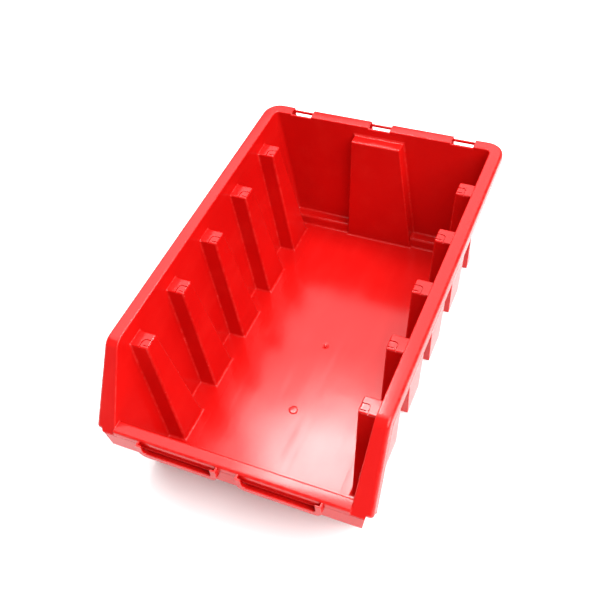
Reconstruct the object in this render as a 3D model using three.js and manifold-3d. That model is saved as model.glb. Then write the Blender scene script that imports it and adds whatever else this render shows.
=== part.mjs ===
// Stackable storage bin: an open-top picking bin with a low front, hollow side ribs and two label holders.
// Millimetres. X is the width, +X to the right; the low front faces -Y; +Z is up and the base rests on z = 0.
import * as THREE from "three";
import { ConvexGeometry } from "three/addons/geometries/ConvexGeometry.js";
import { mergeVertices } from "three/addons/utils/BufferGeometryUtils.js";
import ManifoldModule from "manifold-3d";

const wasm = await ManifoldModule();
wasm.setup();

// ---- driving dimensions ----
const binWidth = 333;
const binLength = 500;
const binHeight = 187;
const skin = 2.2; // wall thickness of the moulding

// rim: a flat flange around the mouth with a skirt hanging from its outer edge
const rimInnerHalfWidth = 149.7;
const rimInnerRear = 233.4;
const rimSkirt = 15;
const rimCornerRadius = 22;

// the rim runs level to the bend, then slants down to the front corners
const bendY = -186;
const slantEndZ = 101;

// base of the cavity
const floorTop = 4;
const floorHalfWidth = 133.2;
const floorFront = -213;
const floorRear = 225.6;
const runnerHalfGap = 97; // the base bears on the strips outside this half width
const runnerRelief = 1.5; // the middle of the base is raised by this
const reliefFront = -209;
const reliefRear = 207;

// front wall, its lip and the hanging skirt that carries the labels
const lipTop = 107;
const lipRear = -236;
const skirtBottom = 74;
const skirtHalfWidthLow = 153.4;
const skirtHalfWidthHigh = 160;

// hollow ribs, five on each side
const ribCount = 5;
const ribPitch = 84.2;
const firstRibY = -161.4;
const ribTop = 167.8;
const ribTopX = 125;
const ribBaseX = 110;
const ribTopHalfLength = 10.8;
const ribBaseHalfLength = 23.3;

// stacking nub on the inner end of each rib's cap
const nubDepth = 10.5;
const nubHeight = 0.9;
const nubFrontInset = 0.8;
const nubRearInset = 5;
const nubGroove = 0.8;

// wide hollow rib in the middle of the rear wall, and the step along the foot of that wall
const rearRibTop = 172;
const rearRibTopHalfWidth = 34;
const rearRibBaseHalfWidth = 48.4;
const rearRibTopY = 217;
const rearRibProud = 1.6; // the rib stands this far in front of the step
const stepTop = 17.5;
const stepFrontLow = 209.4;
const stepFrontHigh = 212;

// three finger slots through the rear flange
const slotCentres = [-112.5, 0, 112.5];
const slotHalfWidth = 14.7;
const slotBarTop = 181.5; // a thin bar is left at the outer edge of each slot
const slotBarBottom = 177.5;

// label holders: U-shaped channels open at the top
const holderCentres = [-60, 63];
const holderWidth = 100;
const holderBottom = 84;
const holderTop = 105;
const holderDepth = 7;
const holderReturn = 7;
const holderReturnDepth = 2;
const holderCornerRadius = 10;
const holderRidgeZ = 91;
const holderRidgeHeight = 2.5;
const holderRidgeDepth = 1.2;

const frontFace = -binLength / 2;
const rearFace = binLength / 2;
const flangeUnderside = binHeight - skin;
const skirtRear = frontFace + skin;

// planes where one named piece ends and the next begins; each keeps clear of the faces near it
const flangeSplitZ = flangeUnderside - 2.4;
const lipSplitZ = lipTop - skin - 0.6;
const skirtSplitY = skirtRear + 0.4;
const slotSplitGap = 0.1;
const flangeInnerX = 153;
const flangeInnerY = 237.5;
const flangeRearSplit = 226;
const ribBayHalfLength = 24.9;
const ribBayInnerX = 107;
const wallSplitX = 131;
const lipSplitX = 141;
const floorSplitX = runnerHalfGap - 1;
const floorFrontSplit = reliefFront + 1;
const floorRearSplit = reliefRear - 1;
const rearCornerX = 118;
const rearRibBayHalfWidth = 50;
const far = 400;

// ---- geometry helpers ----
function solid(geometry) {
  const bare = geometry.clone();
  bare.deleteAttribute("normal");
  bare.deleteAttribute("uv");
  const merged = mergeVertices(bare, 1e-4);
  const mesh = new wasm.Mesh({
    numProp: 3,
    vertProperties: new Float32Array(merged.attributes.position.array),
    triVerts: new Uint32Array(merged.index.array),
  });
  return new wasm.Manifold(mesh);
}

function block(x0, x1, y0, y1, z0, z1) {
  const box = new THREE.BoxGeometry(x1 - x0, y1 - y0, z1 - z0);
  box.translate((x0 + x1) / 2, (y0 + y1) / 2, (z0 + z1) / 2);
  return solid(box);
}

// A six-sided taper between two level rectangles [x0, x1, y0, y1, z].
function taper(low, high) {
  const points = [];
  for (const [x0, x1, y0, y1, z] of [low, high]) {
    for (const x of [x0, x1]) {
      for (const y of [y0, y1]) points.push(new THREE.Vector3(x, y, z));
    }
  }
  return solid(new ConvexGeometry(points));
}

// An outline of [y, z] points pushed across the bin, from -halfWidth to +halfWidth.
function sideExtrusion(outline, halfWidth) {
  const shape = new THREE.Shape(outline.map(([y, z]) => new THREE.Vector2(y, z)));
  const geometry = new THREE.ExtrudeGeometry(shape, { depth: 2 * halfWidth, bevelEnabled: false });
  geometry.translate(0, 0, -halfWidth);
  const turn = new THREE.Matrix4().makeBasis(
    new THREE.Vector3(0, 1, 0),
    new THREE.Vector3(0, 0, 1),
    new THREE.Vector3(1, 0, 0),
  );
  return solid(geometry.applyMatrix4(turn));
}

// A level plate with square front corners and rounded rear corners.
function rimOutline(inset, z0, z1) {
  const halfWidth = binWidth / 2 - inset;
  const front = frontFace + (inset > 0 ? -1 : 0);
  const rear = rearFace - inset;
  const radius = rimCornerRadius - inset;
  const shape = new THREE.Shape();
  shape.moveTo(-halfWidth, front);
  shape.lineTo(halfWidth, front);
  shape.lineTo(halfWidth, rear - radius);
  shape.absarc(halfWidth - radius, rear - radius, radius, 0, Math.PI / 2, false);
  shape.absarc(radius - halfWidth, rear - radius, radius, Math.PI / 2, Math.PI, false);
  const geometry = new THREE.ExtrudeGeometry(shape, { depth: z1 - z0, bevelEnabled: false, curveSegments: 8 });
  geometry.translate(0, 0, z0);
  return solid(geometry);
}

function join(...solids) {
  return wasm.Manifold.union(solids);
}

// ---- faces of the cavity, as they lean in towards the base ----
function between(z, zLow, valueLow, zHigh, valueHigh) {
  return valueLow + ((z - zLow) / (zHigh - zLow)) * (valueHigh - valueLow);
}
const wallX = (z) => between(z, floorTop, floorHalfWidth, binHeight, rimInnerHalfWidth);
const rearY = (z) => between(z, floorTop, floorRear, binHeight, rimInnerRear);
const frontY = (z) => between(z, floorTop, floorFront, lipTop, lipRear);

function cavityTaper(zLow, zHigh, outset) {
  const level = (z) => [-wallX(z) - outset, wallX(z) + outset, frontY(z) - outset, rearY(z) + outset, z];
  return taper(level(zLow), level(zHigh));
}

// The clear space between the two cheeks, above the lip.
function mouthTaper(zLow, zHigh, outset, front) {
  const level = (z) => [-wallX(z) - outset, wallX(z) + outset, front, lipRear + 20, z];
  return taper(level(zLow), level(zHigh));
}

// ---- the whole moulding ----
const slantLength = Math.hypot(bendY - frontFace, binHeight - slantEndZ);
const along = [(frontFace - bendY) / slantLength, (slantEndZ - binHeight) / slantLength];
const inward = [-along[1], along[0]];

// A point in the side view, from the lower end of the slant: up the slant, then square into the rim.
function fromSlantEnd(up, depth) {
  const y = frontFace - up * along[0] + depth * inward[0];
  const z = slantEndZ - up * along[1] + depth * inward[1];
  return [y, z];
}

// Where the line at a given depth under the slant reaches the level z.
function slantMeetsLevel(depth, z) {
  const [y0, z0] = fromSlantEnd(0, depth);
  return y0 + ((z - z0) * along[0]) / along[1];
}

function rimSolid() {
  const skirtLevel = binHeight - rimSkirt;
  const outer = sideExtrusion(
    [
      [rearFace, skirtLevel],
      [rearFace, binHeight],
      [bendY, binHeight],
      fromSlantEnd(0, 0),
      fromSlantEnd(0, rimSkirt),
      [slantMeetsLevel(rimSkirt, skirtLevel), skirtLevel],
    ],
    binWidth / 2,
  );
  const hollow = sideExtrusion(
    [
      [rearFace + 1, 140],
      [rearFace + 1, flangeUnderside],
      [slantMeetsLevel(skin, flangeUnderside), flangeUnderside],
      fromSlantEnd(skin, skin),
      fromSlantEnd(skin, 2 * rimSkirt),
      [bendY + 36, 140],
    ],
    binWidth / 2,
  );
  const cap = rimOutline(0, 60, binHeight).intersect(outer);
  const channel = rimOutline(skin, 60, binHeight).intersect(hollow);
  // nothing of the rim crosses the mouth between the cheeks
  return cap.subtract(join(channel, mouthTaper(60, binHeight + 1, 0, frontFace - 1)));
}

function frontApron() {
  const skirt = taper(
    [-skirtHalfWidthLow, skirtHalfWidthLow, frontFace, skirtRear, skirtBottom],
    [-skirtHalfWidthHigh, skirtHalfWidthHigh, frontFace, skirtRear, lipTop],
  );
  const lip = block(-wallX(lipTop) - 1, wallX(lipTop) + 1, frontFace, lipRear, lipTop - skin, lipTop);
  // beside the lip, the apron stops at the surface of the slanted rim
  const rise = (binHeight - slantEndZ) / (bendY - frontFace);
  const clearTop = lipTop + 1;
  const aboveSlant = sideExtrusion(
    [
      [frontFace - 1, slantEndZ - rise],
      [frontFace + (clearTop - slantEndZ) / rise, clearTop],
      [frontFace - 1, clearTop],
    ],
    binWidth / 2,
  );
  const overLip = block(-wallX(lipTop), wallX(lipTop), frontFace - 2, lipRear, 0, far);
  return join(skirt, lip).subtract(aboveSlant.subtract(overLip));
}

function ribAt(side, y, inset) {
  const reach = side * (inset > 0 ? far : rimInnerHalfWidth + 1);
  const level = (x, halfLength, z) => {
    const inner = side * (x + inset);
    const ends = [Math.min(inner, reach), Math.max(inner, reach)];
    return [...ends, y - halfLength + inset, y + halfLength - inset, z];
  };
  const lowZ = inset > 0 ? -1 : 0;
  return taper(level(ribBaseX, ribBaseHalfLength, lowZ), level(ribTopX, ribTopHalfLength, ribTop - inset));
}

function rearRib(inset) {
  const reach = inset > 0 ? far : rimInnerRear + 1;
  const low = rearRibBaseHalfWidth - inset;
  const high = rearRibTopHalfWidth - inset;
  return taper(
    [-low, low, stepFrontLow - rearRibProud + inset, reach, inset > 0 ? -1 : 0],
    [-high, high, rearRibTopY + inset, reach, rearRibTop - inset],
  );
}

function rearStep(inset) {
  const reach = inset > 0 ? far : rimInnerRear + 1;
  const halfWidth = inset > 0 ? far : floorHalfWidth + skin;
  return taper(
    [-halfWidth, halfWidth, stepFrontLow + inset, reach, inset > 0 ? -1 : 0],
    [-halfWidth, halfWidth, stepFrontHigh + inset, reach, stepTop - inset],
  );
}

function nub(side, y) {
  const x0 = ribTopX + 0.4;
  const y0 = y - ribTopHalfLength + nubFrontInset;
  const y1 = y + ribTopHalfLength - nubRearInset;
  const pad = sideBay(side, x0, x0 + nubDepth, y0, y1, ribTop - 1, ribTop + nubHeight);
  const middle = y0 + (y1 - y0) * 0.3;
  const groove = block(-far, far, middle, middle + nubGroove, ribTop + 0.2, far);
  return pad.subtract(groove);
}

const ribYs = Array.from({ length: ribCount }, (_, k) => firstRibY + k * ribPitch);
const sides = [
  ["left", -1],
  ["right", 1],
];

function moulding() {
  const underRim = sideExtrusion(
    [[rearFace, -5], [rearFace, binHeight], [bendY, binHeight], [frontFace, slantEndZ], [frontFace, -5]],
    binWidth / 2,
  );
  const tubOutside = cavityTaper(0, binHeight, skin);
  const cheekOutside = mouthTaper(lipTop - skin, binHeight, skin, frontFace);
  const tub = join(tubOutside, cheekOutside).intersect(underRim);
  let body = join(tub, rimSolid(), frontApron());
  body = body.subtract(cavityTaper(floorTop, binHeight + 1, 0));
  body = body.subtract(mouthTaper(lipTop, binHeight + 1, 0, frontFace - 1));
  // the rear step and the ribs fill the cavity, then their hollows open them to the outside
  const fills = [rearRib(0), rearStep(0)];
  const hollows = [rearRib(skin), rearStep(skin)];
  const nubs = [];
  for (const [, side] of sides) {
    for (const y of ribYs) {
      fills.push(ribAt(side, y, 0));
      hollows.push(ribAt(side, y, skin));
      nubs.push(nub(side, y));
    }
  }
  const relief = block(-runnerHalfGap, runnerHalfGap, reliefFront, reliefRear, -1, runnerRelief);
  body = join(body, join(...fills).intersect(tubOutside));
  body = body.subtract(join(...hollows, relief));
  // each slot opens the flange behind the wall, and the skirt below the bar
  const wallBack = rimInnerRear + skin + 0.4;
  const slots = slotCentres.flatMap((x) => [
    block(x - slotHalfWidth, x + slotHalfWidth, rimInnerRear - 2, wallBack, flangeUnderside, far),
    block(x - slotHalfWidth, x + slotHalfWidth, wallBack - 0.2, far, slotBarTop, far),
    block(x - slotHalfWidth, x + slotHalfWidth, flangeInnerY, far, binHeight - rimSkirt - 1, slotBarBottom),
  ]);
  return join(body.subtract(join(...slots)), join(...nubs));
}

// ---- label holder ----
function uBand(width, bottom, top, radius, thickness, y0, y1) {
  const outline = (inset) => {
    const half = width / 2 - inset;
    const low = bottom + inset;
    const r = Math.max(radius - inset, 0.5);
    const high = inset > 0 ? top + 1 : top;
    const shape = new THREE.Shape();
    shape.moveTo(half, high);
    shape.lineTo(-half, high);
    shape.lineTo(-half, low + r);
    shape.absarc(-half + r, low + r, r, Math.PI, 1.5 * Math.PI, false);
    shape.absarc(half - r, low + r, r, 1.5 * Math.PI, 2 * Math.PI, false);
    const depth = y1 - y0 + (inset > 0 ? 2 : 0);
    const geometry = new THREE.ExtrudeGeometry(shape, { depth, bevelEnabled: false, curveSegments: 8 });
    geometry.rotateX(Math.PI / 2);
    geometry.translate(0, y1 + (inset > 0 ? 1 : 0), 0);
    return solid(geometry);
  };
  return outline(0).subtract(outline(thickness));
}

function labelHolder(centre) {
  const front = frontFace - holderDepth;
  const channel = uBand(holderWidth, holderBottom, holderTop, holderCornerRadius, skin, front, frontFace);
  const returnEdge = uBand(
    holderWidth, holderBottom, holderTop, holderCornerRadius, holderReturn, front, front + holderReturnDepth,
  );
  const half = holderWidth / 2 - skin / 2;
  const ridge = block(
    -half, half, frontFace - holderRidgeDepth, frontFace, holderRidgeZ, holderRidgeZ + holderRidgeHeight,
  );
  return join(channel, returnEdge, ridge).translate([centre, 0, 0]);
}

// ---- named pieces ----
// the holders stand proud of the front, so the moulding moves back to keep the origin in the middle of the base
const bin = new THREE.Group();
const pieces = new THREE.Group();
pieces.position.y = holderDepth / 2;
bin.add(pieces);
const whole = moulding();
const redPlastic = { color: 0xd80d0d, roughness: 0.32, metalness: 0 };

function addPiece(name, shape) {
  const mesh = shape.getMesh();
  const geometry = new THREE.BufferGeometry();
  geometry.setAttribute("position", new THREE.BufferAttribute(new Float32Array(mesh.vertProperties), 3));
  geometry.setIndex(new THREE.BufferAttribute(new Uint32Array(mesh.triVerts), 1));
  geometry.computeVertexNormals();
  const piece = new THREE.Mesh(geometry, new THREE.MeshStandardMaterial(redPlastic));
  piece.name = name;
  pieces.add(piece);
}

// The part of the moulding inside one or more bays, less the bays that belong to a neighbour.
function cutPiece(name, bays, without = []) {
  let bay = join(...bays);
  if (without.length > 0) bay = bay.subtract(join(...without));
  addPiece(name, whole.intersect(bay));
}

// A bay given for the right side is mirrored for the left one.
function sideBay(side, x0, x1, y0, y1, z0, z1) {
  return block(Math.min(side * x0, side * x1), Math.max(side * x0, side * x1), y0, y1, z0, z1);
}

const ribBay = (side, y) =>
  sideBay(side, ribBayInnerX, flangeInnerX, y - ribBayHalfLength, y + ribBayHalfLength, -1, flangeSplitZ);
const lipBay = () => block(-lipSplitX, lipSplitX, skirtSplitY, lipRear + 3, lipSplitZ, lipTop + 1);

// floor
const floorBay = block(-floorSplitX, floorSplitX, floorFrontSplit, floorRearSplit, -1, floorTop + 1);
cutPiece("floor_center", [floorBay]);
for (const [word, side] of sides) {
  cutPiece(
    `floor_runner_${word}`,
    [sideBay(side, floorSplitX, wallSplitX, floorFrontSplit, floorRearSplit, -1, floorTop + 1)],
    ribYs.map((y) => ribBay(side, y)),
  );
}

// side walls: ribs, the flat panels between them, the front cheeks, the rear corners and the flange
const firstBay = ribYs[0] - ribBayHalfLength;
const lastBay = ribYs[ribCount - 1] + ribBayHalfLength;
for (const [word, side] of sides) {
  ribYs.forEach((y, k) => {
    cutPiece(`side_rib_${word}_${k + 1}`, [ribBay(side, y)]);
    if (k === 0) return;
    const panel = sideBay(
      side, wallSplitX, flangeInnerX, ribYs[k - 1] + ribBayHalfLength, y - ribBayHalfLength, -1, flangeSplitZ,
    );
    cutPiece(`side_panel_${word}_${k}`, [panel]);
  });
  cutPiece(`front_cheek_${word}`, [sideBay(side, wallSplitX, far, skirtSplitY, firstBay, -1, far)], [lipBay()]);
  cutPiece(`rear_corner_${word}`, [
    sideBay(side, wallSplitX, flangeInnerX, lastBay, flangeInnerY, -1, flangeSplitZ),
    sideBay(side, rearCornerX, flangeInnerX, floorRearSplit, flangeInnerY, -1, flangeSplitZ),
  ]);
  cutPiece(`side_flange_${word}`, [
    sideBay(side, wallSplitX, far, firstBay, flangeRearSplit, flangeSplitZ, far),
    sideBay(side, flangeInnerX, far, firstBay, flangeRearSplit, 100, far),
  ]);
}

// rear wall
// edge of slot k on the given side, moved out of the slot (positive) or into it (negative)
const slotEdge = (k, side, out) => slotCentres[k] + side * (slotHalfWidth + out);
const besideSlot = (k, side) => slotEdge(k, side, slotSplitGap);
const insideSlot = (k, side) => slotEdge(k, side, -slotSplitGap);
// the wall's top edge where the flange is cut away for slot k
const slotWallBay = (k) =>
  block(insideSlot(k, -1), insideSlot(k, 1), flangeRearSplit, flangeInnerY, flangeSplitZ, far);
cutPiece("rear_rib", [
  block(-rearRibBayHalfWidth, rearRibBayHalfWidth, floorRearSplit, flangeInnerY, -1, flangeSplitZ),
  slotWallBay(1),
]);
for (const [word, side] of sides) {
  const panel = sideBay(side, rearRibBayHalfWidth, rearCornerX, floorRearSplit, flangeInnerY, -1, flangeSplitZ);
  cutPiece(`rear_panel_${word}`, [panel, slotWallBay(side < 0 ? 0 : 2)]);
}

// rear flange: two corners, two straight lengths and the bars behind the three slots
function rearFlangeBays(x0, x1, y0) {
  return [block(x0, x1, y0, far, flangeSplitZ, far), block(x0, x1, flangeInnerY, far, 100, far)];
}
cutPiece("rear_flange_corner_left", [
  ...rearFlangeBays(-far, besideSlot(0, -1), flangeRearSplit),
  block(-far, -flangeInnerX, flangeRearSplit, far, 100, far),
]);
cutPiece("rear_flange_corner_right", [
  ...rearFlangeBays(besideSlot(2, 1), far, flangeRearSplit),
  block(flangeInnerX, far, flangeRearSplit, far, 100, far),
]);
cutPiece("rear_flange_left", rearFlangeBays(besideSlot(0, 1), besideSlot(1, -1), flangeRearSplit));
cutPiece("rear_flange_right", rearFlangeBays(besideSlot(1, 1), besideSlot(2, -1), flangeRearSplit));
["left", "center", "right"].forEach((word, k) => {
  cutPiece(`rear_slot_bar_${word}`, [block(insideSlot(k, -1), insideSlot(k, 1), flangeInnerY, far, 100, far)]);
});

// front
cutPiece("front_wall", [block(-wallSplitX, wallSplitX, skirtSplitY, floorFrontSplit, -1, lipSplitZ)]);
cutPiece("front_lip", [lipBay()]);
cutPiece("front_skirt", [block(-far, far, frontFace - 1, skirtSplitY, -1, far)]);
["left", "right"].forEach((word, k) => {
  addPiece(`label_holder_${word}`, labelHolder(holderCentres[k]));
});

export default bin;
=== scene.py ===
"""Looks of the stackable storage bin.

One red moulding with real fillets, its two label holders and its small floor marks.

Lengths are in millimetres while the shapes are made, in the bin's own frame: x to the right, the low
front towards -y, z up, the rim from y -250 to 250. Every finished piece is scaled to metres and moved
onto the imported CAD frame.
"""
import math

import bmesh
import bpy
from mathutils import Matrix, Vector


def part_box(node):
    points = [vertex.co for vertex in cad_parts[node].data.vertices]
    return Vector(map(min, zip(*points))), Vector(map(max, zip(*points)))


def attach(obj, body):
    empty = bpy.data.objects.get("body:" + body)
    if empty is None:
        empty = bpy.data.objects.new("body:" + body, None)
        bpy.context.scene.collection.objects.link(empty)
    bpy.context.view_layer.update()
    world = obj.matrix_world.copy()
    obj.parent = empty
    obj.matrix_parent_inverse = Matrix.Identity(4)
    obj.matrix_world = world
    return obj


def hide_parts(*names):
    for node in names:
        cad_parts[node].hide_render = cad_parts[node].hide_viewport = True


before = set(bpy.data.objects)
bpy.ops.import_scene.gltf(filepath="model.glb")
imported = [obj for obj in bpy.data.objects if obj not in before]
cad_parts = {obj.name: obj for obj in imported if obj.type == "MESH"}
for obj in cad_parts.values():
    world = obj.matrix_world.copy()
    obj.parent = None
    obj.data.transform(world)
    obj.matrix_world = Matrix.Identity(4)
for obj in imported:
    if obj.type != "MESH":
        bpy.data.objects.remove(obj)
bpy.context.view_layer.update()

# ---- dimensions, mm ----
WIDTH, LENGTH, HEIGHT = 333.0, 500.0, 187.0
HALF_WIDTH = WIDTH / 2
SKIN = 2.2
FRONT, REAR = -LENGTH / 2, LENGTH / 2
FAR = 400.0

# rim flange and the skirt that hangs from it
RIM_SKIRT = 15.0
RIM_CORNER_RADIUS = 22.0
RIM_OUTER_FILLET = 4.0
BEND_Y = -186.0
BELOW_RIM, CHANNEL_FOOT_Z, CHANNEL_FOOT_Y = 60.0, 140.0, BEND_Y + 36
BEND_RADIUS = 17.0
SLANT_END_Z = 101.0
SLANT_END_RADIUS = 5.0

# cavity
FLOOR_TOP = 4.0
FLOOR_HALF_WIDTH, RIM_INNER_HALF_WIDTH = 133.2, 149.7
FLOOR_REAR, RIM_INNER_REAR = 225.6, 233.4
FLOOR_FRONT, LIP_REAR = -213.0, -236.0
CAVITY_REAR_RADIUS, SHELL_REAR_RADIUS = 6.0, 8.0
MOUTH_REAR = LIP_REAR + 20
FLOOR_LINE_X = 97.0
RELIEF = 1.5
RELIEF_FRONT, RELIEF_REAR = -209.0, 207.0

# front lip, band and apron
LIP_TOP = 107.0
APRON_BOTTOM = 74.0
APRON_HALF_WIDTH_LOW, APRON_HALF_WIDTH_HIGH = 153.4, 160.0
BAND_BOTTOM, BAND_PROUD, BAND_BACK = 97.5, 1.0, 5.0

# hollow side ribs
RIB_COUNT, RIB_PITCH, FIRST_RIB_Y = 5, 84.2, -161.4
RIB_TOP, RIB_TOP_X, RIB_BASE_X = 167.8, 125.0, 110.0
RIB_TOP_HALF_LENGTH, RIB_BASE_HALF_LENGTH = 10.8, 23.3

# stacking pad on the inner end of each rib's cap, drawn by a groove round it and one across it
PAD_START_X, PAD_REACH_X = RIB_TOP_X - 4, 136.6
PAD_FRONT_Y, PAD_REAR_Y, PAD_CORNER_RADIUS = -14.0, 1.8, 4.5
PAD_CROSS_Y, PAD_CROSS_END_X = -7.1, 133.2
GROOVE_WIDTH, GROOVE_DEPTH = 1.3, 1.6

# round marks on the floor where the melt came in and where the part was pushed out
GATE_Y, EJECTOR_Y = 5.0, -101.0

# hairlines left by the seams of the mould, on the floor and across the lip
LINE_WIDTH, LINE_DEPTH = 0.6, 0.15
LIP_MARKS = (-113.0, 3.0)
LINE_STOP, LIP_MARK_FRONT_STOP, LIP_MARK_REAR_STOP = 6.0, 3.0, 1.5

# wide rear rib and the step along the rear wall
REAR_RIB_TOP, REAR_RIB_TOP_HALF, REAR_RIB_BASE_HALF, REAR_RIB_TOP_Y = 172.0, 34.0, 48.4, 217.0
REAR_RIB_PROUD = 2.6
STEP_TOP, STEP_FRONT_LOW, STEP_FRONT_HIGH = 17.5, 209.4, 212.0

# rear slots
SLOT_CENTRES = (-112.5, 0.0, 112.5)
SLOT_HALF_WIDTH, SLOT_BAR_TOP, SLOT_BAR_BOTTOM = 14.7, 181.5, 177.5
SLOT_CHANNEL_Y = 237.5

# label holders
HOLDER_CENTRES = (-60.0, 63.0)
HOLDER_WIDTH, HOLDER_BOTTOM, HOLDER_TOP, HOLDER_DEPTH = 100.0, 84.0, 105.0, 7.0
HOLDER_RETURN, HOLDER_RETURN_DEPTH, HOLDER_RADIUS, HOLDER_WINDOW_RADIUS = 7.0, 2.0, 10.0, 5.0
HOLDER_RIDGE_Z, HOLDER_RIDGE_HEIGHT, HOLDER_RIDGE_DEPTH = 91.0, 2.5, 1.2

# how much each kind of edge is rounded
BAND_TOP_FILLET, BAND_EDGE_FILLET = 3.0, 0.8
RIM_INNER_FILLET, PLAIN_EDGE_FILLET, HOLDER_FILLET = 1.4, 0.7, 0.5
FLOOR_FILLET, WALL_FILLET, STEP_SIDE_FILLET = 2.6, 2.6, 0.5
REAR_RIB_WALL_FILLET, REAR_RIB_FILLET = 3.2, 1.9
RIB_FILLET, CAP_FILLET, CAP_WALL_FILLET = 3.0, 1.8, 0.8

# slack when an edge is matched to a surface
NEAR = 0.1

# how deep below the rim's surface an edge still takes the rim's fillets: the first is for the rim,
# the second for the cavity's walls
RIM_DEPTH_LIMIT, RIM_ZONE = 1.8, 6.0

# overshoot that keeps a cutting shape clear of the surface it cuts through
CLEAR = 1.0

# slot of the mesh's faces that a rounded edge is made of
ROUNDED_SLOT = 1

# linear colours of the plastic
DEEP_RED, CLEAR_RED = (0.49, 0.0035, 0.003, 1), (0.55, 0.005, 0.004, 1)
# the last colour is a painted highlight: a paler pink laid along every rounded edge in wear-like patches
FLOW_RED, HIGHLIGHT_AND_WORN_RED = (0.58, 0.012, 0.009, 1), (0.66, 0.05, 0.04, 1)

# camera at the photograph's viewing angle: place in metres, angles in degrees, lens and sensor in mm
CAMERA_PLACE = (0.3464, -0.6037, 0.9161)
AZIMUTH, ELEVATION, ROLL = 29.26, 48.94, -8.68
LENS, SENSOR_WIDTH = 52.2, 36.0
SHIFT_X, SHIFT_Y = -0.0333, -0.0098

SIDES = (("left", -1), ("right", 1))
RIB_YS = [FIRST_RIB_Y + k * RIB_PITCH for k in range(RIB_COUNT)]

# the bin's front face in the CAD frame fixes how far the shapes move along y
CAD_SHIFT_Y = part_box("front_skirt")[0].y * 1000 - FRONT


# ---- material ----
def make_red_plastic():
    material = bpy.data.materials.new("red_polypropylene")
    material.use_nodes = True
    nodes, links = material.node_tree.nodes, material.node_tree.links
    nodes.clear()
    output = nodes.new("ShaderNodeOutputMaterial")
    shader = nodes.new("ShaderNodeBsdfPrincipled")
    links.new(shader.outputs["BSDF"], output.inputs["Surface"])
    place = nodes.new("ShaderNodeTexCoord")

    def noise(scale, detail, roughness=0.5, stretch=None):
        texture = nodes.new("ShaderNodeTexNoise")
        texture.inputs["Scale"].default_value = scale
        texture.inputs["Detail"].default_value = detail
        texture.inputs["Roughness"].default_value = roughness
        source = place.outputs["Object"]
        if stretch:
            mapping = nodes.new("ShaderNodeMapping")
            mapping.inputs["Scale"].default_value = stretch
            links.new(source, mapping.inputs["Vector"])
            source = mapping.outputs["Vector"]
        links.new(source, texture.inputs["Vector"])
        return texture.outputs["Fac"]

    def spread(value, low, high, to_low, to_high):
        remap = nodes.new("ShaderNodeMapRange")
        remap.inputs["From Min"].default_value = low
        remap.inputs["From Max"].default_value = high
        remap.inputs["To Min"].default_value = to_low
        remap.inputs["To Max"].default_value = to_high
        links.new(value, remap.inputs["Value"])
        return remap.outputs["Result"]

    def blend(factor, a, b):
        mix = nodes.new("ShaderNodeMix")
        mix.data_type = "RGBA"
        links.new(factor, mix.inputs["Factor"])
        for socket, colour in ((mix.inputs["A"], a), (mix.inputs["B"], b)):
            if isinstance(colour, tuple):
                socket.default_value = colour
            else:
                links.new(colour, socket)
        return mix.outputs["Result"]

    def add(a, b):
        total = nodes.new("ShaderNodeMath")
        total.operation = "ADD"
        links.new(a, total.inputs[0])
        links.new(b, total.inputs[1])
        return total.outputs[0]

    # slow drift of the pigment, then streaks where the melt flowed along the bin, then a paler pink on
    # every rounded edge, convex and concave alike: a painted highlight along the fillets, broken into
    # patches like wear
    cloud = spread(noise(5.0, 4.0), 0.35, 0.65, 0.0, 1.0)
    flow = spread(noise(9.0, 5.0, 0.6, (3.0, 0.6, 3.0)), 0.5, 0.78, 0.0, 0.5)
    # the stored edge mask picks out every fillet: the paler colour it brings in is a painted highlight,
    # and the duller gloss it brings is wear
    highlight_wear_mask = nodes.new("ShaderNodeAttribute")
    highlight_wear_mask.attribute_name = "painted_highlight_and_edge_wear"
    edge_patches = spread(noise(160.0, 3.0), 0.4, 0.75, 0.0, 0.35)
    highlight_and_wear = nodes.new("ShaderNodeMath")
    highlight_and_wear.operation = "MULTIPLY"
    links.new(highlight_wear_mask.outputs["Fac"], highlight_and_wear.inputs[0])
    links.new(edge_patches, highlight_and_wear.inputs[1])
    colour = blend(cloud, DEEP_RED, CLEAR_RED)
    colour = blend(flow, colour, FLOW_RED)
    colour = blend(highlight_and_wear.outputs[0], colour, HIGHLIGHT_AND_WORN_RED)
    links.new(colour, shader.inputs["Base Color"])

    # gloss: polished by the mould, with duller clouds, dull streaks and dull worn edges
    gloss = spread(noise(14.0, 6.0, 0.62), 0.3, 0.7, 0.13, 0.20)
    streaks = spread(noise(22.0, 4.0, 0.55, (4.0, 0.35, 2.0)), 0.55, 0.8, 0.0, 0.08)
    dulled = spread(highlight_and_wear.outputs[0], 0.0, 0.35, 0.0, 0.10)
    links.new(add(add(gloss, streaks), dulled), shader.inputs["Roughness"])
    shader.inputs["IOR"].default_value = 1.49
    shader.inputs["Specular IOR Level"].default_value = 0.30

    # gentle waviness of a thin moulding, with the fine skin of the mould on top
    wave = nodes.new("ShaderNodeBump")
    wave.inputs["Strength"].default_value = 0.35
    wave.inputs["Distance"].default_value = 0.0012
    links.new(noise(11.0, 2.0, 0.4), wave.inputs["Height"])
    grain = nodes.new("ShaderNodeBump")
    grain.inputs["Strength"].default_value = 0.10
    grain.inputs["Distance"].default_value = 0.0002
    links.new(noise(700.0, 3.0, 0.5), grain.inputs["Height"])
    links.new(wave.outputs["Normal"], grain.inputs["Normal"])
    links.new(grain.outputs["Normal"], shader.inputs["Normal"])
    return material


red_plastic = make_red_plastic()


# ---- solids ----
def as_object(bm, name="solid"):
    mesh = bpy.data.meshes.new(name)
    bm.to_mesh(mesh)
    bm.free()
    made = bpy.data.objects.new(name, mesh)
    bpy.context.scene.collection.objects.link(made)
    return made


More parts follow.
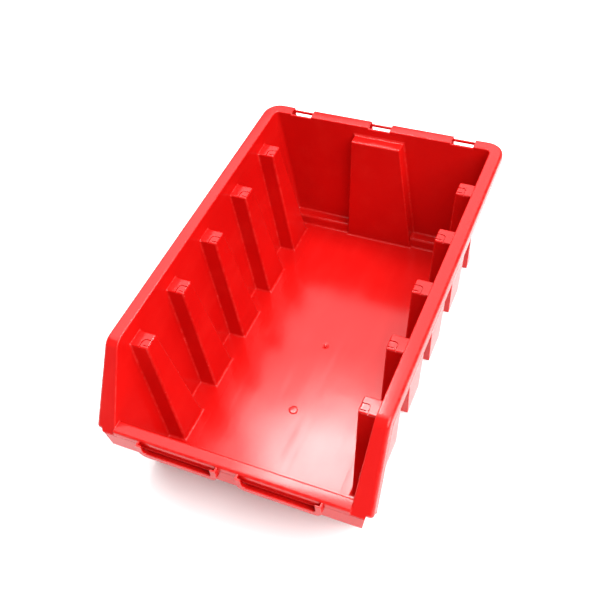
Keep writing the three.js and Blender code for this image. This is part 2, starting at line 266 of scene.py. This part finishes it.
def hull(points):
    bm = bmesh.new()
    bmesh.ops.convex_hull(bm, input=[bm.verts.new(p) for p in points])
    bmesh.ops.delete(bm, geom=[v for v in bm.verts if not v.link_faces], context="VERTS")
    bmesh.ops.recalc_face_normals(bm, faces=bm.faces)
    return as_object(bm)


def block(x0, x1, y0, y1, z0, z1):
    return hull([(x, y, z) for x in (x0, x1) for y in (y0, y1) for z in (z0, z1)])


def arc(cx, cy, radius, start, stop, steps):
    angles = [math.radians(start + (stop - start) * k / steps) for k in range(steps + 1)]
    return [(cx + radius * math.cos(a), cy + radius * math.sin(a)) for a in angles]


def level_ring(level, rear_radius):
    """A level rectangle [x0, x1, y0, y1, z] with rounded rear corners."""
    x0, x1, y0, y1, z = level
    outline = [(x0, y0), (x1, y0)]
    if rear_radius > 0:
        outline += arc(x1 - rear_radius, y1 - rear_radius, rear_radius, 0, 90, 6)
        outline += arc(x0 + rear_radius, y1 - rear_radius, rear_radius, 90, 180, 6)
    else:
        outline += [(x1, y1), (x0, y1)]
    return [(x, y, z) for x, y in outline]


def taper(low, high, rear_radius=0.0):
    return hull(level_ring(low, rear_radius) + level_ring(high, rear_radius))


def prism(outline, start, stop, axis):
    """A closed outline pushed along an axis: (y, z) points for x, (x, z) for y, (x, y) for z."""
    place = {
        "x": lambda u, v, w: (w, u, v),
        "y": lambda u, v, w: (u, w, v),
        "z": lambda u, v, w: (u, v, w),
    }[axis]
    bm = bmesh.new()
    near = [bm.verts.new(place(u, v, start)) for u, v in outline]
    away = [bm.verts.new(place(u, v, stop)) for u, v in outline]
    bm.faces.new(near)
    bm.faces.new(away[::-1])
    for k in range(len(outline)):
        nxt = (k + 1) % len(outline)
        bm.faces.new([near[nxt], away[nxt], away[k], near[k]])
    bmesh.ops.recalc_face_normals(bm, faces=bm.faces)
    return as_object(bm)


def boolean(a, b, operation):
    modifier = a.modifiers.new("boolean", "BOOLEAN")
    modifier.operation = operation
    modifier.object = b
    modifier.solver = "MANIFOLD"
    apply_modifiers(a)
    bpy.data.objects.remove(b, do_unlink=True)
    return a


def apply_modifiers(o):
    graph = bpy.context.evaluated_depsgraph_get()
    graph.update()
    mesh = bpy.data.meshes.new_from_object(o.evaluated_get(graph))
    o.modifiers.clear()
    old = o.data
    o.data = mesh
    bpy.data.meshes.remove(old)


def union(first, *others):
    for other in others:
        first = boolean(first, other, "UNION")
    return first


def cut(first, *others):
    for other in others:
        first = boolean(first, other, "DIFFERENCE")
    return first


def common(first, other):
    return boolean(first, other, "INTERSECT")


# ---- the moulding ----
def between(z, z_low, low, z_high, high):
    return low + (z - z_low) / (z_high - z_low) * (high - low)


def wall_x(z):
    return between(z, FLOOR_TOP, FLOOR_HALF_WIDTH, HEIGHT, RIM_INNER_HALF_WIDTH)


def rear_y(z):
    return between(z, FLOOR_TOP, FLOOR_REAR, HEIGHT, RIM_INNER_REAR)


def front_y(z):
    return between(z, FLOOR_TOP, FLOOR_FRONT, LIP_TOP, LIP_REAR)


def cavity(z_low, z_high, outset, rear_radius):
    low, high = (
        (-wall_x(z) - outset, wall_x(z) + outset, front_y(z) - outset, rear_y(z) + outset, z)
        for z in (z_low, z_high)
    )
    return taper(low, high, rear_radius)


def mouth(z_low, z_high, outset, front):
    low, high = (
        (-wall_x(z) - outset, wall_x(z) + outset, front, MOUTH_REAR, z)
        for z in (z_low, z_high)
    )
    return taper(low, high)


SLANT_LENGTH = math.hypot(BEND_Y - FRONT, HEIGHT - SLANT_END_Z)
ALONG = ((FRONT - BEND_Y) / SLANT_LENGTH, (SLANT_END_Z - HEIGHT) / SLANT_LENGTH)
INWARD = (-ALONG[1], ALONG[0])


def from_slant_end(up, depth):
    """Side-view point: up the slant from its lower end, then square into the rim."""
    return (FRONT - up * ALONG[0] + depth * INWARD[0], SLANT_END_Z - up * ALONG[1] + depth * INWARD[1])


def bend(depth, steps=6):
    """The rounded bend between the level rim and the slant, at a depth below the top.

    It is sharp deep inside, where no radius is left.
    """
    centre_depth = BEND_RADIUS if depth < BEND_RADIUS else depth
    y0, z0 = from_slant_end(0, centre_depth)
    centre_z = HEIGHT - centre_depth
    centre_y = y0 + (centre_z - z0) * ALONG[0] / ALONG[1]
    if depth >= BEND_RADIUS:
        return [(centre_y, centre_z)]
    slant_angle = math.degrees(math.atan2(-INWARD[1], -INWARD[0]))
    return arc(centre_y, centre_z, BEND_RADIUS - depth, 90, slant_angle, steps)


def rim_outline(inset):
    half, front, rear = HALF_WIDTH - inset, FRONT - (CLEAR if inset else 0), REAR - inset
    radius = RIM_CORNER_RADIUS - inset
    corners = arc(half - radius, rear - radius, radius, 0, 90, 10)
    corners += arc(radius - half, rear - radius, radius, 90, 180, 10)
    return [(-half, front), (half, front)] + corners


def rim():
    skirt_z = HEIGHT - RIM_SKIRT
    side_view = [(REAR, skirt_z), (REAR, HEIGHT)] + bend(0)
    turn = [math.radians(a) for a in (0, 22.5, 45, 67.5, 90)]
    for a in turn:
        up, depth = SLANT_END_RADIUS * (1 - math.sin(a)), SLANT_END_RADIUS * (1 - math.cos(a))
        side_view.append(from_slant_end(up, depth))
    side_view += [from_slant_end(0, RIM_SKIRT)] + bend(RIM_SKIRT)
    channel_view = [(REAR + CLEAR, CHANNEL_FOOT_Z), (REAR + CLEAR, HEIGHT - SKIN)] + bend(SKIN)
    channel_view += [from_slant_end(SKIN, SKIN), from_slant_end(SKIN, 2 * RIM_SKIRT)]
    channel_view.append((CHANNEL_FOOT_Y, CHANNEL_FOOT_Z))
    across = (-HALF_WIDTH, HALF_WIDTH, "x")
    cap = common(prism(rim_outline(0), BELOW_RIM, HEIGHT, "z"), prism(side_view, *across))
    channel = common(prism(rim_outline(SKIN), BELOW_RIM, HEIGHT, "z"), prism(channel_view, *across))
    return cut(cap, channel, mouth(BELOW_RIM, HEIGHT + CLEAR, 0, FRONT - CLEAR))


def rib(side, y, inset):
    reach = side * (FAR if inset else RIM_INNER_HALF_WIDTH + 1)

    def level(x, half_length, z):
        inner = side * (x + inset)
        low_y, high_y = y - half_length + inset, y + half_length - inset
        return (min(inner, reach), max(inner, reach), low_y, high_y, z)

    low_z = -1 if inset else 0
    return taper(
        level(RIB_BASE_X, RIB_BASE_HALF_LENGTH, low_z),
        level(RIB_TOP_X, RIB_TOP_HALF_LENGTH, RIB_TOP - inset),
    )


def rear_rib(inset):
    reach = FAR if inset else RIM_INNER_REAR + 1
    low, high = REAR_RIB_BASE_HALF - inset, REAR_RIB_TOP_HALF - inset
    return taper(
        (-low, low, STEP_FRONT_LOW - REAR_RIB_PROUD + inset, reach, -1 if inset else 0),
        (-high, high, REAR_RIB_TOP_Y + inset, reach, REAR_RIB_TOP - inset),
    )


def rear_step(inset):
    reach = FAR if inset else RIM_INNER_REAR + 1
    half = FAR if inset else FLOOR_HALF_WIDTH + SKIN
    return taper(
        (-half, half, STEP_FRONT_LOW + inset, reach, -1 if inset else 0),
        (-half, half, STEP_FRONT_HIGH + inset, reach, STEP_TOP - inset),
    )


def front_apron():
    """The hanging apron, the band along its top and the lip.

    Beside the lip they stop at the slanted rim's surface.
    """
    proud = FRONT - BAND_PROUD
    band_half = between(BAND_BOTTOM, APRON_BOTTOM, APRON_HALF_WIDTH_LOW, LIP_TOP, APRON_HALF_WIDTH_HIGH)
    top = (-APRON_HALF_WIDTH_HIGH, APRON_HALF_WIDTH_HIGH, FRONT, FRONT + SKIN, LIP_TOP)
    apron = taper((-APRON_HALF_WIDTH_LOW, APRON_HALF_WIDTH_LOW, FRONT, FRONT + SKIN, APRON_BOTTOM), top)
    band = taper(
        (-band_half, band_half, proud, FRONT + BAND_BACK, BAND_BOTTOM),
        (-APRON_HALF_WIDTH_HIGH, APRON_HALF_WIDTH_HIGH, proud, FRONT + BAND_BACK, LIP_TOP),
    )
    lip = block(-wall_x(LIP_TOP) - 1, wall_x(LIP_TOP) + 1, proud, LIP_REAR, LIP_TOP - SKIN, LIP_TOP)
    rise = (HEIGHT - SLANT_END_Z) / (BEND_Y - FRONT)
    clear_top = LIP_TOP + 1
    above_slant = prism(
        [
            (FRONT - 3, SLANT_END_Z - 3 * rise),
            (FRONT + (clear_top - SLANT_END_Z) / rise, clear_top),
            (FRONT - 3, clear_top),
        ],
        -HALF_WIDTH,
        HALF_WIDTH,
        "x",
    )
    over_lip = block(-wall_x(LIP_TOP), wall_x(LIP_TOP), FRONT - 4, LIP_REAR, 0, FAR)
    return cut(union(apron, band, lip), cut(above_slant, over_lip))


def moulding():
    side_view = [(REAR, -5), (REAR, HEIGHT)] + bend(0) + [(FRONT, SLANT_END_Z), (FRONT, -5)]
    under_rim = prism(side_view, -HALF_WIDTH, HALF_WIDTH, "x")
    body = union(cavity(0, HEIGHT, SKIN, SHELL_REAR_RADIUS), mouth(LIP_TOP - SKIN, HEIGHT, SKIN, FRONT))
    body = union(common(body, under_rim), rim())
    body = union(body, front_apron())
    inside = cavity(FLOOR_TOP, HEIGHT + CLEAR, 0, CAVITY_REAR_RADIUS)
    body = cut(body, inside, mouth(LIP_TOP, HEIGHT + CLEAR, 0, FRONT - 4))
    fills, hollows = [rear_rib(0), rear_step(0)], [rear_rib(SKIN), rear_step(SKIN)]
    for _, side in SIDES:
        for y in RIB_YS:
            fills.append(rib(side, y, 0))
            hollows.append(rib(side, y, SKIN))
    body = union(body, common(union(*fills), cavity(0, HEIGHT, SKIN, SHELL_REAR_RADIUS)))
    body = cut(body, *hollows)
    body = cut(body, block(-FLOOR_LINE_X, FLOOR_LINE_X, RELIEF_FRONT, RELIEF_REAR, -1, RELIEF))
    wall_back = RIM_INNER_REAR + SKIN + 0.4
    for x in SLOT_CENTRES:
        low, high = x - SLOT_HALF_WIDTH, x + SLOT_HALF_WIDTH
        body = cut(
            body,
            block(low, high, RIM_INNER_REAR - 2, wall_back, HEIGHT - SKIN, FAR),
            block(low, high, wall_back - 0.2, FAR, SLOT_BAR_TOP, FAR),
            block(low, high, SLOT_CHANNEL_Y, FAR, HEIGHT - RIM_SKIRT - 1, SLOT_BAR_BOTTOM),
        )
    return body


def mirrored(outline, side):
    """Plan-view (x, y) points on the right side, mirrored for the left one."""
    return [(side * x, y) for x, y in outline]


def pad_outline(inset):
    reach, rear, radius = PAD_REACH_X - inset, PAD_REAR_Y - inset, PAD_CORNER_RADIUS - inset
    corner = arc(reach - radius, rear - radius, radius, 0, 90, 6)
    return [(PAD_START_X, PAD_FRONT_Y), (reach, PAD_FRONT_Y)] + corner + [(PAD_START_X, rear)]


def pad_grooves(side, y):
    """The groove round the pad of one rib's cap, and the one across it."""
    low, high = RIB_TOP - GROOVE_DEPTH, RIB_TOP + 2
    rings = []
    for inset in (0, GROOVE_WIDTH):
        outline = [(px, py + y) for px, py in mirrored(pad_outline(inset), side)]
        rings.append(prism(outline, low - inset, high + inset, "z"))
    ends = sorted((side * PAD_START_X, side * PAD_CROSS_END_X))
    half = GROOVE_WIDTH / 2
    across = block(*ends, y + PAD_CROSS_Y - half, y + PAD_CROSS_Y + half, low, high)
    return cut(*rings), across


def clean(o, distance=0.02, flat_degrees=0.6):
    bm = bmesh.new()
    bm.from_mesh(o.data)
    bmesh.ops.remove_doubles(bm, verts=bm.verts, dist=distance)
    bmesh.ops.dissolve_degenerate(bm, dist=distance, edges=bm.edges)
    bmesh.ops.dissolve_limit(bm, angle_limit=math.radians(flat_degrees), verts=bm.verts, edges=bm.edges)
    bmesh.ops.delete(bm, geom=[e for e in bm.edges if not e.link_faces], context="EDGES")
    bmesh.ops.delete(bm, geom=[v for v in bm.verts if not v.link_faces], context="VERTS")
    bm.to_mesh(o.data)
    bm.free()


def round_edges(o, width_of, segments=3, sharp_degrees=27.0):
    """Bevels every edge sharper than sharp_degrees, by the width that width_of(midpoint, convex) gives.

    The faces that the bevel makes get the material slot ROUNDED_SLOT.
    """
    bm = bmesh.new()
    bm.from_mesh(o.data)
    layers = bm.edges.layers.float
    weight = layers.get("bevel_weight_edge") or layers.new("bevel_weight_edge")
    widths = {}
    for e in bm.edges:
        if len(e.link_faces) == 2 and math.degrees(e.calc_face_angle()) > sharp_degrees:
            widths[e] = width_of((e.verts[0].co + e.verts[1].co) / 2, e.is_convex)
    widest = max(widths.values())
    for e, w in widths.items():
        e[weight] = w / widest
    bm.to_mesh(o.data)
    bm.free()
    o.data.materials.append(red_plastic)
    o.data.materials.append(red_plastic)
    modifier = o.modifiers.new("bevel", "BEVEL")
    modifier.material = ROUNDED_SLOT
    modifier.limit_method = "WEIGHT"
    modifier.offset_type = "OFFSET"
    modifier.width = widest
    modifier.segments = segments
    modifier.use_clamp_overlap = False
    modifier.miter_outer = "MITER_SHARP"
    apply_modifiers(o)


def mark_highlight_and_worn_edges(o):
    """Stores 1 along the crown of every rounded edge and 0 elsewhere, for the material to read. The
    material paints these edges a paler pink as a painted highlight and dulls their gloss as wear.
    """
    mesh = o.data
    highlight_wear_mask = [1.0] * len(mesh.vertices)
    for polygon in mesh.polygons:
        if polygon.material_index != ROUNDED_SLOT:
            for v in polygon.vertices:
                highlight_wear_mask[v] = 0.0
        polygon.material_index = 0
    mesh.attributes.new("painted_highlight_and_edge_wear", "FLOAT", "POINT").data.foreach_set("value", highlight_wear_mask)


def moulding_width(mid, convex):
    """How much each edge of the moulding is rounded, mm."""
    outer = abs(mid.x) > HALF_WIDTH - 0.2 or mid.y > REAR - 0.2
    if mid.y > REAR - RIM_CORNER_RADIUS and abs(mid.x) > HALF_WIDTH - RIM_CORNER_RADIUS:
        past_x = abs(mid.x) - HALF_WIDTH + RIM_CORNER_RADIUS
        past_y = mid.y - REAR + RIM_CORNER_RADIUS
        from_corner = math.hypot(past_x, past_y)
        outer = from_corner > RIM_CORNER_RADIUS - 0.4
    under_slant = (mid.y - FRONT) * INWARD[0] + (mid.z - SLANT_END_Z) * INWARD[1]
    past_slant_end = (mid.y - FRONT) * ALONG[0] + (mid.z - SLANT_END_Z) * ALONG[1]
    if convex and outer and min(HEIGHT - mid.z, under_slant, -past_slant_end) < RIM_DEPTH_LIMIT:
        return RIM_OUTER_FILLET
    on_rim = abs(min(HEIGHT - mid.z, under_slant)) < RIM_DEPTH_LIMIT
    if abs(mid.x) < wall_x(mid.z) + 1 and mid.y < 0 and on_rim:
        return RIM_INNER_FILLET
    if abs(mid.y - FRONT + BAND_PROUD) < 0.05:
        return BAND_TOP_FILLET if mid.z > LIP_TOP - NEAR else BAND_EDGE_FILLET
    in_length = front_y(mid.z) - NEAR < mid.y < rear_y(mid.z) + NEAR
    in_cavity = in_length and abs(mid.x) < wall_x(mid.z) + NEAR
    by_rear_rib = abs(mid.x) < REAR_RIB_BASE_HALF + 1
    if not in_cavity or mid.z < FLOOR_TOP - NEAR:
        return PLAIN_EDGE_FILLET
    if not convex:
        if abs(mid.z - FLOOR_TOP) < 0.05:
            return FLOOR_FILLET
        if abs(mid.z - RIB_TOP) < NEAR:
            return CAP_WALL_FILLET
        if mid.z < STEP_TOP - 1 and STEP_FRONT_LOW - 1 < mid.y and by_rear_rib:
            return STEP_SIDE_FILLET
        return REAR_RIB_WALL_FILLET if mid.y > STEP_FRONT_LOW and by_rear_rib else WALL_FILLET
    if mid.z > HEIGHT - RIM_ZONE:
        return RIM_INNER_FILLET
    if by_rear_rib:
        return REAR_RIB_FILLET
    return CAP_FILLET if mid.z > RIB_TOP - NEAR else RIB_FILLET


def finish_piece(o, name, *nodes):
    """Scales a shape to metres in the CAD frame, smooths its shading and puts it on the frame."""
    o.name = name
    o.data.name = name
    mark_highlight_and_worn_edges(o)
    o.data.transform(Matrix.Scale(0.001, 4) @ Matrix.Translation((0, CAD_SHIFT_Y, 0)))
    for polygon in o.data.polygons:
        polygon.use_smooth = True
    o.data.set_sharp_from_angle(angle=math.radians(36))
    weighted = o.modifiers.new("weighted_normal", "WEIGHTED_NORMAL")
    weighted.mode = "FACE_AREA"
    weighted.weight = 100
    weighted.keep_sharp = True
    o.data.materials.clear()
    o.data.materials.append(red_plastic)
    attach(o, "root")
    if nodes:
        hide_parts(*nodes)
    return o


# ---- label holders ----
def u_outline(inset, radius):
    half, low = HOLDER_WIDTH / 2 - inset, HOLDER_BOTTOM + inset
    top = HOLDER_TOP + (CLEAR if inset else 0)
    corners = arc(radius - half, low + radius, radius, 180, 270, 6)
    corners += arc(half - radius, low + radius, radius, 270, 360, 6)
    return [(half, top), (-half, top)] + corners


def label_holder(centre):
    front, back = FRONT - HOLDER_DEPTH, FRONT + 0.5
    channel = cut(
        prism(u_outline(0, HOLDER_RADIUS), front, back, "y"),
        prism(u_outline(SKIN, HOLDER_RADIUS - SKIN), front - 1, back + 1, "y"),
    )
    behind = front + HOLDER_RETURN_DEPTH
    edge = cut(
        prism(u_outline(0, HOLDER_RADIUS), front, behind, "y"),
        prism(u_outline(HOLDER_RETURN, HOLDER_WINDOW_RADIUS), front - CLEAR, behind + CLEAR, "y"),
    )
    half = HOLDER_WIDTH / 2 - SKIN / 2
    ridge_top = HOLDER_RIDGE_Z + HOLDER_RIDGE_HEIGHT
    ridge = block(-half, half, FRONT - HOLDER_RIDGE_DEPTH, back, HOLDER_RIDGE_Z, ridge_top)
    holder = union(channel, edge, ridge)
    holder.data.transform(Matrix.Translation((centre, 0, 0)))
    return holder


# ---- floor marks ----
def lathe(profile, steps=40):
    """A closed solid of revolution about z.

    The profile is (radius, z) points, and its first and last points lie on the axis.
    """
    bm = bmesh.new()
    rows = []
    for radius, z in profile:
        if radius == 0:
            rows.append([bm.verts.new((0, 0, z))])
            continue
        rows.append(
            [
                bm.verts.new((radius * math.cos(a), radius * math.sin(a), z))
                for a in (2 * math.pi * k / steps for k in range(steps))
            ]
        )
    for low, high in zip(rows, rows[1:]):
        for k in range(steps):
            nxt = k + 1
            corner = [low[k % len(low)], low[nxt % len(low)], high[nxt % len(high)], high[k % len(high)]]
            bm.faces.new(list(dict.fromkeys(corner)))
    bmesh.ops.recalc_face_normals(bm, faces=bm.faces)
    return as_object(bm)


def placed(o, x, y, z):
    o.data.transform(Matrix.Translation((x, y, z)))
    return o


# ---- pieces ----
body = moulding()
clean(body)
round_edges(body, moulding_width)
for _, side in SIDES:
    for y in RIB_YS:
        body = cut(body, *pad_grooves(side, y))
dimple = lathe([(0, -0.7), (2.4, -0.7), (3.6, -0.5), (4.6, -0.2), (5.2, 0.0), (5.8, 0.6), (0, 0.6)])
ring = lathe([(0, -0.6), (5.4, -0.6), (6.0, 0.0), (6.4, 0.6), (0, 0.6)])
body = cut(body, placed(dimple, 0, GATE_Y, FLOOR_TOP), placed(ring, 0, EJECTOR_Y, FLOOR_TOP))
for x in (-FLOOR_LINE_X, FLOOR_LINE_X):
    line = (x - LINE_WIDTH / 2, x + LINE_WIDTH / 2)
    ends = (FLOOR_FRONT + LINE_STOP, STEP_FRONT_LOW - LINE_STOP)
    body = cut(body, block(*line, *ends, FLOOR_TOP - LINE_DEPTH, FLOOR_TOP + 2))
for x in LIP_MARKS:
    line = (x - LINE_WIDTH / 2, x + LINE_WIDTH / 2)
    ends = (FRONT + LIP_MARK_FRONT_STOP, LIP_REAR - LIP_MARK_REAR_STOP)
    body = cut(body, block(*line, *ends, LIP_TOP - LINE_DEPTH, LIP_TOP + 2))
finish_piece(body, "bin_moulding", *[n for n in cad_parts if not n.startswith("label_holder")])

for (word, _), centre in zip(SIDES, HOLDER_CENTRES):
    holder = label_holder(centre)
    clean(holder)
    round_edges(holder, lambda mid, convex: HOLDER_FILLET)
    finish_piece(holder, f"label_channel_{word}", f"label_holder_{word}")

gate = lathe([(0, -0.9), (2.4, -0.9), (2.3, -0.2), (1.9, 0.5), (1.2, 0.9), (0, 1.0)])
finish_piece(placed(gate, 0, GATE_Y, FLOOR_TOP), "gate_mark")
disc = lathe([(0, -0.9), (5.0, -0.9), (5.0, 0.1), (4.6, 0.4), (4.0, 0.5), (0, 0.45)])
finish_piece(placed(disc, 0, EJECTOR_Y, FLOOR_TOP), "ejector_mark")


# ---- floor, light and camera ----
def make_floor():
    bm = bmesh.new()
    half, level = 6.0, -0.0003
    corners = ((-half, -half), (half, -half), (half, half), (-half, half))
    bm.faces.new([bm.verts.new((x, y, level)) for x, y in corners])
    floor = as_object(bm, "studio_floor")
    material = bpy.data.materials.new("studio_floor")
    material.use_nodes = True
    shader = material.node_tree.nodes["Principled BSDF"]
    shader.inputs["Base Color"].default_value = (0.93, 0.93, 0.93, 1)
    shader.inputs["Roughness"].default_value = 0.9
    floor.data.materials.append(material)


def area_light(name, position, target, size, power):
    light = bpy.data.lights.new(name, "AREA")
    light.shape = "RECTANGLE"
    light.size, light.size_y = size
    light.energy = power
    lamp = bpy.data.objects.new(name, light)
    lamp.location = position
    lamp.rotation_euler = (Vector(target) - Vector(position)).to_track_quat("-Z", "Y").to_euler()
    bpy.context.scene.collection.objects.link(lamp)


def make_light():
    scene = bpy.context.scene
    scene.view_settings.view_transform = "Standard"
    world = bpy.data.worlds.new("studio")
    scene.world = world
    world.use_nodes = True
    background = world.node_tree.nodes["Background"]
    background.inputs["Color"].default_value = (1.0, 1.0, 1.0, 1)
    background.inputs["Strength"].default_value = 0.40
    area_light("key_softbox", (-0.40, 0.57, 1.5), (-0.05, 0.0, 0.0), size=(0.36, 0.32), power=11)
    area_light("overhead_rear", (-0.7, 1.2, 2.2), (-0.5, 0.8, 0.0), size=(3.2, 2.6), power=75)
    area_light("overhead_right", (1.5, -0.35, 1.95), (0.1, -0.1, 0.0), size=(2.4, 2.2), power=115)


def make_camera():
    data = bpy.data.cameras.new("camera")
    data.lens, data.sensor_width = LENS, SENSOR_WIDTH
    data.shift_x, data.shift_y = SHIFT_X, SHIFT_Y
    camera = bpy.data.objects.new("camera", data)
    azimuth, elevation, roll = (math.radians(angle) for angle in (AZIMUTH, ELEVATION, ROLL))
    level = math.cos(elevation)
    back = Vector((math.sin(azimuth) * level, -math.cos(azimuth) * level, math.sin(elevation)))
    across = Vector((0, 0, 1)).cross(back).normalized()
    upward = back.cross(across)
    right = across * math.cos(roll) + upward * math.sin(roll)
    top = upward * math.cos(roll) - across * math.sin(roll)
    turned = Matrix((right, top, back)).transposed().to_4x4()
    camera.matrix_world = Matrix.Translation(CAMERA_PLACE) @ turned
    bpy.context.scene.collection.objects.link(camera)
    bpy.context.scene.camera = camera


make_floor()
make_light()
make_camera()
